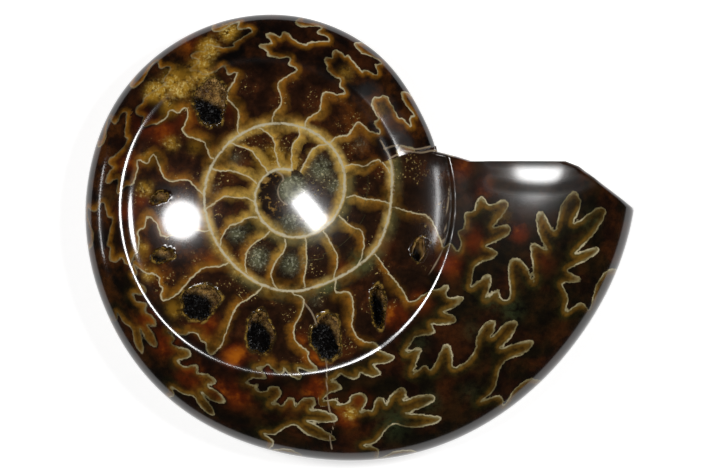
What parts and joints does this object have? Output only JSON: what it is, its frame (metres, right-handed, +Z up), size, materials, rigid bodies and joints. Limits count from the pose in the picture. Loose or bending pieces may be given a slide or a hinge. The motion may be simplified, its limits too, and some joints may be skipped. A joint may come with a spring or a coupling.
{
  "type": "polished ammonite fossil dish",
  "caption": "Polished spiral ammonite fossil with a shallow round dish ground into one flank and crystal-lined hollows in it; rests on a ground flat spot.",
  "frame": {"origin": "on the level of the ground flat spot, under the middle of the whole outline", "axes": "+Z up along the coil's axis, out of the dish; +X along the longest extent, to the sawn end of the outer whorl; the coil grows counter-clockwise seen from +Z"},
  "size_m": [0.1284, 0.1044, 0.0275],
  "materials": {
    "polished_agate": "high polish, dark brown agate and calcite fill with amber and cream suture lines",
    "calcite_crystals": "natural faceted honey-coloured crystals"
  },
  "bodies": {
    "root": {"ammonite_dish": "polished_agate", "crystal_crust_1": "calcite_crystals", "crystal_crust_2": "calcite_crystals", "crystal_crust_3": "calcite_crystals", "crystal_crust_4": "calcite_crystals", "crystal_crust_5": "calcite_crystals", "crystal_crust_6": "calcite_crystals", "crystal_crust_7": "calcite_crystals", "crystal_crust_8": "calcite_crystals"}
  },
  "joints": []
}
